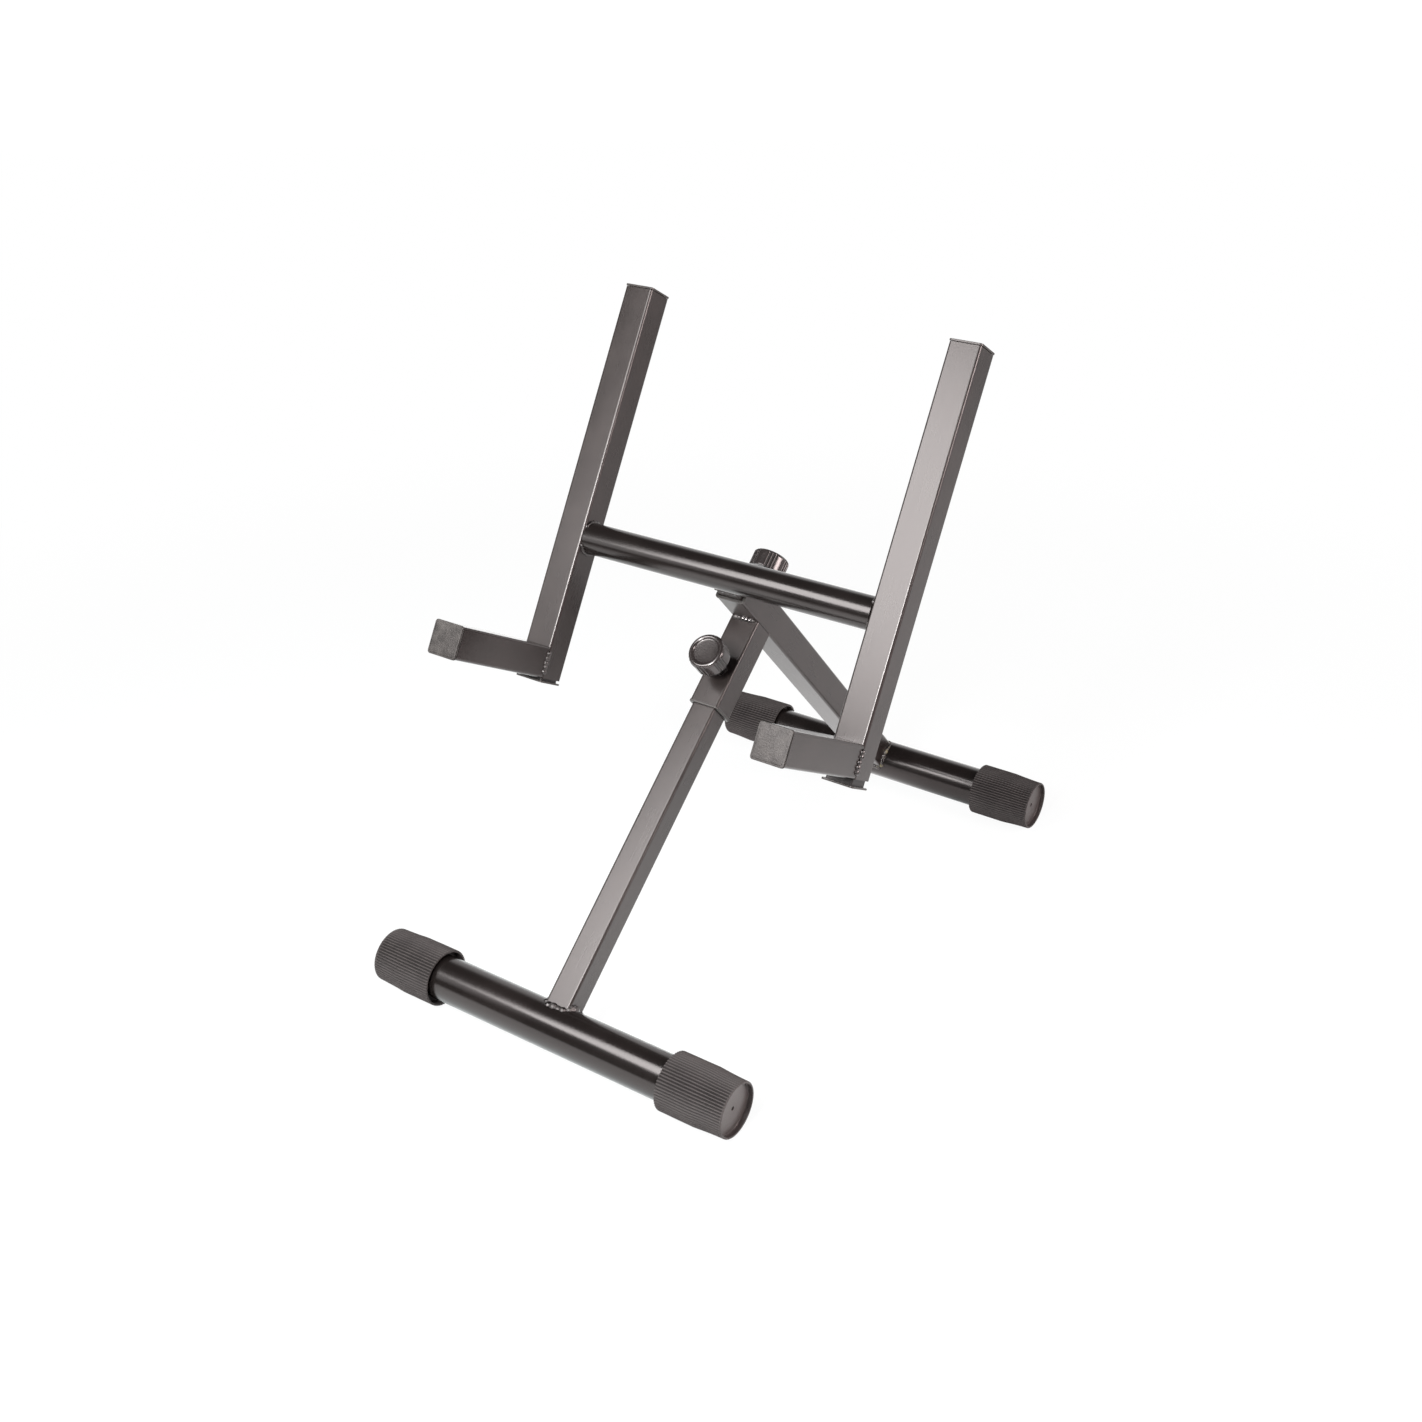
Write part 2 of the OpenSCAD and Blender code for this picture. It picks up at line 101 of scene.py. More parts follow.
FRONT_LEG = leaning(0, -BASE_GAP / 2, FOOT_R, -FRONT_LEAN)
REAR_LEG = leaning(0, BASE_GAP / 2, FOOT_R, REAR_LEAN)
CRADLE = REAR_LEG @ Matrix.Translation((0, 0, CROSSBAR_AT)) @ Matrix.Rotation(
    -REAR_LEAN - CRADLE_LEAN, 4, "X")
KNOB_PLACE = {
    "front": FRONT_LEG @ leaning(0, -TUBE / 2, SLEEVE_END + KNOB_FROM_END, math.pi / 2),
    "rear": REAR_LEG @ leaning(0, TUBE / 2, REAR_LEN - KNOB_FROM_END, -math.pi / 2)}
print("distance between the bases: %.1f mm" % BASE_GAP)
print("crossbar axis at height: %.1f mm" % CRADLE.translation.z)

# %% [markdown]
# ## Shader maths
# A material is a web of nodes, and sums in it are hard to read as a list of
# links. This small class wraps one socket, so that a sum is written as a sum.
# Each sign adds a Math node. Any other node comes from one method.

# %% A socket that does sums
class Flow:
    """One value flowing through a material's nodes."""

    def __init__(self, tree, socket=None):
        self.tree, self.socket = tree, socket

    def node(self, kind, settings=None, inputs=None, output=0):
        """Adds a node: its settings first, then values or links for its sockets."""
        made = self.tree.nodes.new("ShaderNode" + kind)
        for name, value in (settings or {}).items():
            setattr(made, name, value)
        for name, value in (inputs or {}).items():
            if isinstance(value, Flow):
                self.tree.links.new(value.socket, made.inputs[name])
            else:
                made.inputs[name].default_value = value
        return Flow(self.tree, made.outputs[output])

    def math(self, operation, first, second=0.0):
        return self.node("Math", {"operation": operation}, {0: first, 1: second})

    def __add__(self, other):
        return self.math("ADD", self, other)

    __radd__ = __add__

    def __sub__(self, other):
        return self.math("SUBTRACT", self, other)

    def __rsub__(self, other):
        return self.math("SUBTRACT", other, self)

    def __mul__(self, other):
        return self.math("MULTIPLY", self, other)

    __rmul__ = __mul__

    def between(self, low, high):
        """0 below low, 1 above high, with a smooth ramp in the middle."""
        return self.node("MapRange", {"interpolation_type": "SMOOTHSTEP"},
                         {"Value": self, "From Min": low, "From Max": high})

    def blend(self, first, second):
        """A colour from the first to the second as this value goes from 0 to 1."""
        return self.node("Mix", {"data_type": "RGBA"}, {0: self, 6: first, 7: second}, 2)


def new_material(name):
    """A material, its principled shader and the start of its flow."""
    material = bpy.data.materials.new(name)
    material.use_nodes = True
    tree = material.node_tree
    return material, tree.nodes["Principled BSDF"], Flow(tree)


def wire(shader, **sockets):
    """Sets or links sockets of a shader, named with underscores for spaces."""
    for name, value in sockets.items():
        socket = shader.inputs[name.replace("_", " ")]
        if isinstance(value, Flow):
            value.tree.links.new(value.socket, socket)
        else:
            socket.default_value = value


WARM = (1.0, 0.88, 0.87, 1)  # the cast of every reflection on the stand
print("shader maths ready")

# %% [markdown]
# ## The black paint
# The tubes are steel with a satin black coat. The paint has a warm cast, and a
# very fine orange peel that spreads each reflection. Along a drawn tube the
# steel's own long streaks still show faintly, so the pattern is turned to lie
# along each tube and stretched. Everything reads Object coordinates, in metres.

# %% Paint
SATIN = (0.0130, 0.0096, 0.0090)


def paint_along(name, lean, long_axis="Z", dark=SATIN, gloss=0.285):
    """Satin black paint over a drawn tube that leans about X."""
    material, shader, start = new_material(name)
    place = start.node("TexCoord", output="Object")
    along = start.node("Mapping", {"vector_type": "POINT"},
                       {"Vector": place, "Rotation": (-lean, 0, 0)})
    stretch = (900, 900, 14) if long_axis == "Z" else (14, 900, 900)
    streak_at = start.node("Mapping", {}, {"Vector": along, "Scale": stretch})
    streaks = start.node("TexNoise", {}, {"Vector": streak_at, "Scale": 1.0, "Detail": 3.0})
    peel = start.node("TexNoise", {}, {"Vector": place, "Scale": 1500.0, "Detail": 2.0})
    clouds = start.node("TexNoise", {}, {"Vector": place, "Scale": 28.0, "Detail": 3.0})
    dust = clouds.between(0.35, 0.75)
    wire(shader,
         Base_Color=dust.blend((*dark, 1), (*[c * 1.35 for c in dark], 1)),
         Roughness=gloss + (clouds - 0.5) * 0.05 + (streaks - 0.5) * 0.05,
         Normal=start.node("Bump", {}, {
             "Strength": 0.22, "Distance": 0.00012, "Height": peel * 0.7 + streaks * 0.5}),
         Specular_Tint=WARM)
    return material


PAINT_CRADLE = paint_along("paint_cradle", -CRADLE_LEAN)
PAINT_FRONT = paint_along("paint_front_leg", -FRONT_LEAN)
PAINT_REAR = paint_along("paint_rear_leg", REAR_LEAN)
PAINT_ARM = paint_along("paint_arm", math.pi / 2 - CRADLE_LEAN, gloss=0.21)
PAINT_ROUND = paint_along("paint_round_bar", 0.0, "X", (0.0060, 0.0045, 0.0042), 0.21)
print("paints:", [m.name for m in bpy.data.materials if m.name.startswith("paint")])

# %% [markdown]
# ## Rubber, plastic and plated steel
# The feet are matt rubber, and light is painted on their dished ends. The arm caps are
# a moulded plastic with a leathery grain, and the flat plugs and the knobs a smoother one.
# The screws are plated steel. Each differs from the next in roughness more than in colour.
# A number kept on each point of a moulded piece marks painted shade where it is 1: in its
# grooves, its moulding mark and the necks of the plugs. Where it is -1 it marks painted light.

# %% Rubber and plastics
def moulded(name, dark, light, roughness, grain, cloud_scale=60.0, level=0.5):
    """A moulded rubber or plastic, with painted shade where its mark is 1 and painted light
    where it is -1.

    The grain is its scale and its depth in metres.
    """
    material, shader, start = new_material(name)
    place = start.node("TexCoord", output="Object")
    clouds = start.node("TexNoise", {}, {"Vector": place, "Scale": cloud_scale, "Detail": 4.0})
    pores = start.node("TexNoise", {}, {"Vector": place, "Scale": grain[0], "Detail": 3.0})
    groove = start.node("Attribute", {"attribute_name": "groove"}, output="Fac")
    tone = clouds.between(0.3, 0.75).blend((*dark, 1), (*light, 1))
    # Painted light: where the mark is -1, on the feet's dished ends, the colour is lightened.
    painted_light = (0.0 - groove).between(0.0, 1.0)
    # Painted shade: where the mark is 1 the colour darkens to near black.
    tone_with_shade = groove.blend(tone, (*[c * 0.15 for c in dark], 1))
    wire(shader,
         Base_Color=painted_light.blend(tone_with_shade, (*[c * 1.35 for c in light], 1)),
         Specular_Tint=WARM, Specular_IOR_Level=level,
         Roughness=roughness + (clouds - 0.5) * 0.2 * roughness + groove * 0.2,
         Normal=start.node("Bump", {}, {
             "Strength": 0.35, "Distance": grain[1], "Height": pores + clouds * 0.3}))
    return material


RUBBER = moulded("foot_rubber", (0.019, 0.0147, 0.0143), (0.032, 0.0255, 0.0247), 0.6,
                 (1400, 0.00025))
PLUG = moulded("plug_plastic", (0.012, 0.0100, 0.0092), (0.034, 0.029, 0.027), 0.46,
               (700, 0.0005), 110.0, 0.37)
FLANGE = moulded("plug_plastic_smooth", (0.020, 0.0165, 0.0155), (0.034, 0.029, 0.027), 0.3,
                 (700, 0.0002))
BUSH = moulded("bush_plastic", (0.020, 0.018, 0.017), (0.032, 0.028, 0.026), 0.36,
               (900, 0.0001))
KNOB = moulded("knob_plastic", (0.012, 0.0092, 0.0090), (0.020, 0.016, 0.0155), 0.19,
               (1200, 0.00004), level=0.65)
print("moulded finishes:", [m.name for m in (RUBBER, PLUG, FLANGE, BUSH, KNOB)])

# %% Weld paint and plated steel
def weld_paint(name, patch_tint=(0.012, 0.010, 0.009, 1)):
    """Paint pooled over a weld, glossy in patches, and tinted in other patches with a given
    colour.
    """
    material, shader, start = new_material(name)
    place = start.node("TexCoord", output="Object")
    soot = start.node("TexNoise", {}, {"Vector": place, "Scale": 420.0, "Detail": 4.0})
    patches = start.node("TexNoise", {}, {"Vector": place, "Scale": 160.0, "Detail": 2.0})
    wire(shader,
         Base_Color=patches.between(0.48, 0.62).blend((0.005, 0.004, 0.004, 1), patch_tint),
         Roughness=0.05 + soot * 0.12 + patches.between(0.38, 0.52) * 0.4,
         Specular_IOR_Level=0.75, Specular_Tint=WARM,
         Normal=start.node("Bump", {}, {"Strength": 0.6, "Distance": 0.0005, "Height": soot}))
    return material


def plated_steel():
    """Zinc-plated steel, with a cool and slightly mottled plating."""
    material, shader, start = new_material("plated_steel")
    place = start.node("TexCoord", output="Object")
    mottle = start.node("TexNoise", {}, {"Vector": place, "Scale": 500.0, "Detail": 4.0})
    wire(shader, Metallic=1.0, Roughness=0.26 + mottle * 0.16,
         Base_Color=mottle.between(0.3, 0.7).blend((0.46, 0.45, 0.43, 1), (0.62, 0.61, 0.59, 1)),
         Normal=start.node("Bump", {}, {"Strength": 0.2, "Distance": 0.0001, "Height": mottle}))
    return material


WELD, STEEL = weld_paint("paint_weld"), plated_steel()
WELD_GOLDEN = weld_paint("paint_weld_golden", (0.085, 0.070, 0.030, 1))
print("other finishes:", WELD.name, WELD_GOLDEN.name, STEEL.name)

# %% [markdown]
# ## From a drawing to a finished piece
# Every piece ends the same way. Doubled points are merged, the faces are turned
# outwards, and the points are carried to their place. Soft shading with marked
# sharp edges makes the round corners smooth, and weighted normals keep the flat
# faces flat right up to the corner.

# %% Finishing a piece
def finish(name, mesh, place, paint, body, replaces=(), sharp=40):
    """Makes a piece of the stand from a bmesh drawn in millimetres."""
    bmesh.ops.remove_doubles(mesh, verts=mesh.verts, dist=1e-4)
    bmesh.ops.recalc_face_normals(mesh, faces=mesh.faces)
    bmesh.ops.transform(mesh, matrix=Matrix.Scale(0.001, 4) @ place, verts=mesh.verts)
    loose = sum(1 for edge in mesh.edges if len(edge.link_faces) != 2)
    data = bpy.data.meshes.new(name)
    mesh.to_mesh(data)
    mesh.free()
    if place.determinant() < 0:
        data.flip_normals()
    data.shade_smooth()
    data.set_sharp_from_angle(angle=math.radians(sharp))
    data.materials.append(paint)
    made = bpy.data.objects.new(name, data)
    bpy.context.scene.collection.objects.link(made)
    made.modifiers.new("flat_faces", "WEIGHTED_NORMAL").keep_sharp = True
    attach(made, body)
    if replaces:
        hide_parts(*replaces)
    print(f"{name}: {len(data.polygons)} faces, {loose} open edges")


print("ready to finish pieces")

# %% [markdown]
# ## Square tube
# A square tube starts as one flat square. Rounding its four corners and insetting
# it by the wall's thickness gives the ring that a saw cut would show, and the ring
# is extruded to length. The open middle face is deleted, so the tube is hollow.

# %% Square tube
def section(mesh, side, radius, segments=7):
    """Draws a flat square with round corners."""
    bmesh.ops.create_grid(mesh, x_segments=1, y_segments=1, size=side / 2)
    bmesh.ops.bevel(mesh, geom=mesh.verts[:], offset=radius, offset_type="OFFSET",
                    segments=segments, profile=0.5, affect="VERTICES", material=-1)


def lift(mesh, faces, height):
    """Extrudes faces straight up and returns the new top points."""
    made = bmesh.ops.extrude_face_region(mesh, geom=faces)["geom"]
    tops = [part for part in made if isinstance(part, bmesh.types.BMVert)]
    bmesh.ops.translate(mesh, vec=(0, 0, height), verts=tops)
    return tops


def square_tube(length, side=TUBE, start=0.0, wall=WALL, radius=CORNER):
    """A hollow square tube that stands on z = start."""
    mesh = bmesh.new()
    section(mesh, side, radius)
    ring = bmesh.ops.inset_region(mesh, faces=mesh.faces[:], thickness=wall,
                                  use_even_offset=True, use_boundary=True)["faces"]
    middle = [face for face in mesh.faces if face not in set(ring)]
    bmesh.ops.delete(mesh, geom=middle, context="FACES")
    lift(mesh, mesh.faces[:], length)
    bmesh.ops.translate(mesh, vec=(0, 0, start), verts=mesh.verts)
    return mesh


def cope(mesh, low, bar_r, cuts=10):
    """Shapes the tube's end near z = low to sit on a round bar along X."""
    # The long flat edges across the bar, and none of the short ones in the round corners.
    rungs = [edge for edge in mesh.edges if abs(edge.verts[0].co.x - edge.verts[1].co.x) < 1e-4
             and abs(edge.verts[0].co.y - edge.verts[1].co.y) > 10]
    bmesh.ops.subdivide_edges(mesh, edges=rungs, cuts=cuts, use_grid_fill=True)
    for point in mesh.verts:
        if abs(point.co.z - low) < 1.0:
            point.co.z = math.sqrt(bar_r ** 2 - point.co.y ** 2)


FLIP_X = Matrix.Scale(-1, 4, (1, 0, 0))
UPRIGHT_FOOT = Matrix.Translation((UPRIGHT_X, 0, UPRIGHT_LOW))
ARM_ROOT = Matrix.Translation((UPRIGHT_X, -TUBE / 2, UPRIGHT_LOW + TUBE / 2)) @ (
    Matrix.Rotation(math.pi / 2, 4, "X"))
for side, mirror in (("left", FLIP_X), ("right", Matrix.Identity(4))):
    finish(f"upright_tube_{side}", square_tube(UPRIGHT_LEN), CRADLE @ mirror @ UPRIGHT_FOOT,
           PAINT_CRADLE, "cradle", [f"upright_{side}"])
    finish(f"arm_tube_{side}", square_tube(ARM_LEN), CRADLE @ mirror @ ARM_ROOT,
           PAINT_ARM, "cradle", [f"arm_{side}"])

# %% [markdown]
# ## Legs and post
# Each leg ends in a cope, the curved cut that lets a square tube sit on a round
# one. The two faces that cross the bar are divided into strips, and each point of
# the end then drops onto the bar's curve. The sleeve's top is cut by a plane, the
# underside of the rear leg.

# %% Legs, sleeve and post
leg = square_tube(REAR_LEN)
cope(leg, 0, BASE_R)
finish("rear_leg_square", leg, REAR_LEG, PAINT_REAR, "rear_frame", ["rear_leg_tube"])

leg = square_tube(SLEEVE_TOP - LEG_BELOW_TOP, INNER)
cope(leg, 0, BASE_R)
finish("front_leg_square", leg, FRONT_LEG, PAINT_FRONT, "front_leg", ["front_leg_tube"])

post = square_tube(POST_LEN, INNER)
cope(post, 0, CROSSBAR_R)
finish("post_square", post, REAR_LEG @ Matrix.Translation((0, 0, CROSSBAR_AT)) @ (
    Matrix.Rotation(math.pi, 4, "X")), PAINT_REAR, "cradle", ["cradle_post"])

UNCUT = 110.0  # long enough to pass through the rear leg's underside
sleeve = square_tube(UNCUT, start=SLEEVE_END)
leg_face = FRONT_LEG.inverted() @ REAR_LEG @ Matrix.Translation((0, -TUBE / 2, 0))
bmesh.ops.bisect_plane(
    sleeve, geom=sleeve.verts[:] + sleeve.edges[:] + sleeve.faces[:],
    plane_co=leg_face.translation, plane_no=leg_face.to_3x3() @ Vector((0, 1, 0)),
    clear_outer=True)
rims = [edge for edge in sleeve.edges if edge.is_boundary]
bmesh.ops.bridge_loops(sleeve, edges=rims)
finish("front_sleeve_square", sleeve, FRONT_LEG, PAINT_FRONT, "rear_frame", ["front_sleeve"])

# %% [markdown]
# ## Turned pieces
# Round tubes, feet and knobs are all turned: a half outline in the XZ plane is
# spun once round the Z axis. Corners of the outline are rounded before the spin
# with a bevel of its points, as a lathe tool's radius would leave them.

# %% Turning on a lathe
def turned(outline, steps, closed=True):
    """Spins an outline of (radius, height, rounding) points about Z."""
    mesh = bmesh.new()
    points = [mesh.verts.new((r, 0, z)) for r, z, _ in outline]
    ends = points[1:] + points[:1] if closed else points[1:]
    for a, b in zip(points, ends):
        mesh.edges.new((a, b))
    rounding = {}
    for point, (_, _, radius) in zip(points, outline):
        if radius:
            rounding.setdefault(radius, []).append(point)
    for radius, corners in rounding.items():
        bmesh.ops.bevel(mesh, geom=corners, offset=radius, offset_type="OFFSET", segments=5,
                        profile=0.5, affect="VERTICES", material=-1)
    bmesh.ops.spin(mesh, geom=mesh.edges[:], axis=(0, 0, 1), cent=(0, 0, 0), steps=steps,
                   angle=2 * math.pi, use_merge=True)
    return mesh


def along_x(x=0.0, z=0.0):
    """Lays what was turned about Z along X."""
    return Matrix.Translation((x, 0, z)) @ Matrix.Rotation(math.pi / 2, 4, "Y")


def round_tube(radius, half):
    """A round tube of a given half length, centred on the origin."""
    inner = radius - WALL
    outline = [(inner, -half, 0), (radius, -half, 0.3), (radius, half, 0.3), (inner, half, 0)]
    return turned(outline, 128)


FRONT_BASE = Matrix.Translation((0, -BASE_GAP / 2, FOOT_R))
REAR_BASE = Matrix.Translation((0, BASE_GAP / 2, FOOT_R))
for end, base, body in (("front", FRONT_BASE, "front_leg"), ("rear", REAR_BASE, "rear_frame")):
    finish(f"{end}_base_round", round_tube(BASE_R, HALF_SPAN - BASE_INSET), base @ along_x(),
           PAINT_ROUND, body, [f"{end}_base_tube"])
finish("crossbar_round", round_tube(CROSSBAR_R, UPRIGHT_X - TUBE / 2), CRADLE @ along_x(),
       PAINT_ROUND, "cradle", ["crossbar"])

# %% [markdown]
# ## Ribbed rubber feet
# A foot is a rubber cup. Sixty ribs run along its side from a thin rim round its
# open mouth, which stands clear of the tube, to its closed end, where it narrows.
# That end is dished inside a rim, with a small moulding mark in the middle. The cup
# is turned with a few points along its side, and the ribs are pressed in by moving
# those points towards the axis. Rubber is soft, so the sides are also a bit wavy.

# %% Feet
RIBS, RIB_DEPTH = 60, 1.15
MOUTH, MOUTH_R = 8.0, 24.4
DISH, DISH_R, MARK_R = 60.6, 22.7, 2.0
TAPER, TAPER_FROM, TAPER_OVER = 1.5, 36.0, 26.0


def foot_radius(z):
    """Radius over the ribs at a height above the mouth."""
    narrow = min(1.0, max(0.0, (z - TAPER_FROM) / TAPER_OVER))
    return FOOT_R - TAPER * (1.6 * narrow - 0.6 * narrow ** 2)


def foot_shape(seed):
    """A ribbed foot standing on its open mouth, with its axis along Z."""
    grip, floor = BASE_R + 0.1, 56.0
    heights = (1.2, 3, 6, 10, 15, 20, 25, 30, 35, 39, 43, 47, 51, 55, 58, 60.5, 62.5)
    mouth = [(grip, MOUTH, 0.4), (MOUTH_R, MOUTH, 0.8), (MOUTH_R, 0, 0.3), (FOOT_R, 0, 0.3)]
    end = [(25.1, FOOT_LEN, 0.8), (DISH_R + 0.4, FOOT_LEN, 0.5), (DISH_R, DISH, 0.4),
           (MARK_R, DISH, 0.2), (MARK_R - 0.3, DISH - 1.0, 0), (0.0, DISH - 1.0, 0)]
    inside = [(0.0, floor, 0), (grip, floor, 0.5)]
    side = [(foot_radius(z), z, 0) for z in heights]
    mesh = turned(mouth + side + end + inside, RIBS * 8)
    groove = mesh.verts.layers.float.new("groove")
    for point in mesh.verts:
        x, y, z = point.co
        radius, turn = math.hypot(x, y), math.atan2(y, x)
        if radius < foot_radius(z) - 0.7:
            dished = z > DISH - 0.6 and radius < DISH_R + 0.1
            # Painted shade in the moulding mark's recess, and painted light on the dished end.
            point[groove] = 1.0 if radius < MARK_R - 0.1 else -1.0 if dished else 0.0
            continue
        wave = 0.5 - 0.5 * math.cos(RIBS * turn)
        sag = 0.1 + 0.1 * noise.noise((x * 0.06 + seed, y * 0.06, z * 0.08))
        fade = min(1.0, (FOOT_LEN + 0.3 - z) / 2.5)
        press = (RIB_DEPTH * wave ** 1.3 + sag) * fade
        point.co.x, point.co.y = x * (1 - press / radius), y * (1 - press / radius)
        # Painted shade in the grooves between the ribs, fading out towards the end.
        point[groove] = fade * wave ** 1.2
    return mesh


for end, base, body in (("front", FRONT_BASE, "front_leg"), ("rear", REAR_BASE, "rear_frame")):
    for side, mirror in (("left", FLIP_X), ("right", Matrix.Identity(4))):
        finish(f"{end}_foot_ribbed_{side}", foot_shape(3.0 * len(bpy.data.objects)),
               base @ mirror @ along_x(HALF_SPAN - FOOT_LEN), RUBBER, body,
               [f"{end}_foot_{side}"])

# %% [markdown]
# ## Plugs, caps and bushes
# Flat plastic plugs close the uprights, domed caps close the arms, and the two
# telescoping fits have a plastic bush whose lip shows round the thinner tube. All
# are squares with round corners, extruded and softened with a small bevel. The
# dome is made by dividing the cap's face ring by ring and then sinking each point
# onto a large sphere.

# %% Plugs
PLUG_SIDE, PLUG_CORNER = 31.0, 2.6
CORE_SIDE, CORE_LOW, FIN_SIDE = 25.6, -16.0, 26.8


def join_into(mesh, part):
    """Adds one bmesh to another and frees it."""
    data = bpy.data.meshes.new("part")
    part.to_mesh(data)
    part.free()
    mesh.from_mesh(data)
    bpy.data.meshes.remove(data)


def slab(mesh, side, radius, low, high, soften):
    """Adds a solid rounded square from low to high, its edges softened by a radius."""
    made = bmesh.new()
    section(made, side, radius)
    lift(made, made.faces[:], high - low)
    bmesh.ops.translate(made, vec=(0, 0, low), verts=made.verts)
    bmesh.ops.recalc_face_normals(made, faces=made.faces)
    if soften:
        rims = [edge for edge in made.edges
                if abs(edge.verts[0].co.z - edge.verts[1].co.z) < 1e-5]
        bmesh.ops.bevel(made, geom=rims, offset=soften, offset_type="OFFSET", segments=4,
                        profile=0.5, affect="EDGES", material=-1)
    join_into(mesh, made)


def shade_inside(mesh, half, top):
    """Marks the points of a plug's neck with painted shade, so that its material is darkest
    there.
    """
    groove = mesh.verts.layers.float.new("groove")
    for point in mesh.verts:
        if max(abs(point.co.x), abs(point.co.y)) < half and point.co.z < top:
            point[groove] = 1.0


def plug_shape(gap):
    """A flat plug, with its flange above the tube's end by the gap."""
    mesh = bmesh.new()
    slab(mesh, PLUG_SIDE, PLUG_CORNER, gap + 0.55, gap + 2.28, 0.3)
    slab(mesh, CORE_SIDE, 1.5, CORE_LOW, gap + 0.8, 0.3)
    for low in (-15.0, -9.0, -3.0):
        slab(mesh, FIN_SIDE, 1.2, low, low + 1.2, 0)
    shade_inside(mesh, 13.5, gap + 0.9)
    return mesh


FLIP_Z = Matrix.Rotation(math.pi, 4, "X")
for side, mirror, gap in (("left", FLIP_X, 2.0), ("right", Matrix.Identity(4), 5.5)):
    column = CRADLE @ mirror @ UPRIGHT_FOOT
    finish(f"upright_top_cap_{side}", plug_shape(0.0),
           column @ Matrix.Translation((0, 0, UPRIGHT_LEN)), FLANGE, "cradle",
           [f"upright_top_plug_{side}"])
    finish(f"upright_bottom_cap_{side}", plug_shape(gap), column @ FLIP_Z, FLANGE, "cradle",
           [f"upright_bottom_plug_{side}"])

# %% Domed arm caps
DOME_R, DOME_LOW, DOME_THICK, DOME_RINGS = 200, 2.9, 1.6, 12
CAP_FLANGE_LOW, CAP_FLANGE_TOP = 0.9, 2.1


def cap_shape():
    """A domed cap just clear of z = 0, with a fine channel round it and its core below."""
    mesh = bmesh.new()
    section(mesh, PLUG_SIDE, PLUG_CORNER)
    lift(mesh, mesh.faces[:], DOME_THICK)
    bmesh.ops.recalc_face_normals(mesh, faces=mesh.faces)
    rim = [edge for edge in mesh.edges
           if min(point.co.z for point in edge.verts) > DOME_THICK - 0.1]
    bmesh.ops.bevel(mesh, geom=rim, offset=0.5, offset_type="OFFSET", segments=4, profile=0.5,
                    affect="EDGES", material=-1)
    face = max(mesh.faces, key=lambda f: f.calc_center_median().z)
    for ring in range(DOME_RINGS, 1, -1):
        tops = lift(mesh, [face], 0.0)
        bmesh.ops.scale(mesh, vec=((ring - 1) / ring, (ring - 1) / ring, 1), verts=tops)
        # The rings around it are quads, so the middle face has the most points.
        face = max(mesh.faces, key=lambda f: len(f.verts) + f.calc_center_median().z)
    for point in mesh.verts:
        out = math.hypot(point.co.x, point.co.y)
        if point.co.z > 0.5:
            point.co.z -= DOME_R - math.sqrt(DOME_R ** 2 - out ** 2)
    bmesh.ops.translate(mesh, vec=(0, 0, DOME_LOW), verts=mesh.verts)
    slab(mesh, PLUG_SIDE, PLUG_CORNER, CAP_FLANGE_LOW, CAP_FLANGE_TOP, 0.25)
    slab(mesh, CORE_SIDE, 1.5, CORE_LOW, DOME_LOW + 0.3, 0)
    shade_inside(mesh, 13.0, DOME_LOW + 0.4)
    return mesh


for side, mirror in (("left", FLIP_X), ("right", Matrix.Identity(4))):
    finish(f"arm_end_cap_{side}", cap_shape(),
           CRADLE @ mirror @ ARM_ROOT @ Matrix.Translation((0, 0, ARM_LEN)), PLUG, "cradle",
           [f"arm_cap_{side}"])

# %% Bushes
LIP_T, LIP_WALL, BUSH_DEEP, BUSH_WALL = 2.5, 2.9, 24.0, 0.8


def bush_shape():
    """A lipped bush, with its lip above z = 0 and its sleeve below."""
    mesh = square_tube(LIP_T, PLUG_SIDE, 0.0, LIP_WALL, 3.0)
    rims = [edge for edge in mesh.edges if edge.calc_face_angle(0) > 1.2]
    bmesh.ops.bevel(mesh, geom=rims, offset=0.45, offset_type="OFFSET", segments=3, profile=0.5,
                    affect="EDGES", material=-1)
    join_into(mesh, square_tube(BUSH_DEEP, FIN_SIDE, -BUSH_DEEP, BUSH_WALL, 1.6))
    return mesh


finish("rear_leg_lip", bush_shape(), REAR_LEG @ Matrix.Translation((0, 0, REAR_LEN)), BUSH,
       "rear_frame", ["rear_leg_bush"])
finish("sleeve_lip", bush_shape(), FRONT_LEG @ Matrix.Translation((0, 0, SLEEVE_END)) @ FLIP_Z,
       BUSH, "rear_frame", ["sleeve_bush"])

# %% [markdown]
# ## Clamp knobs
# Each knob is turned, with a shallow cone sunk inside a broad round rim and a hollow
# underside round a boss. The rim is what draws the two bright arcs. The side has six
# smooth pads and between them groups of three round grooves for the fingers. The
# grooves are pressed in where the turned wall crosses them, and fade out at the
# shoulder.

# %% Knobs
SCREW_R = 4.0
KNOB_R, KNOB_H = 17.5, 17.0
GROOVE_R, GROOVE_STEP = 1.3, math.radians(11)
RIM_R, RIM_AT = 2.6, 14.4
GROOVE_TOP, GROOVE_IN = 15.6, 15.8  # the grooves end below this height, outside this radius
KNOB_TWIST = {"front": math.radians(-21), "rear": 0.0}


def groove_depth(turn):
    """How deep the grooves cut at an angle round the knob."""
    near = (turn + math.pi / 6) % (math.pi / 3) - math.pi / 6
    nearest = max(-1, min(1, round(near / GROOVE_STEP))) * GROOVE_STEP
    off = abs(near - nearest) * KNOB_R
    return math.sqrt(max(0.0, GROOVE_R ** 2 - off ** 2)) * 0.85


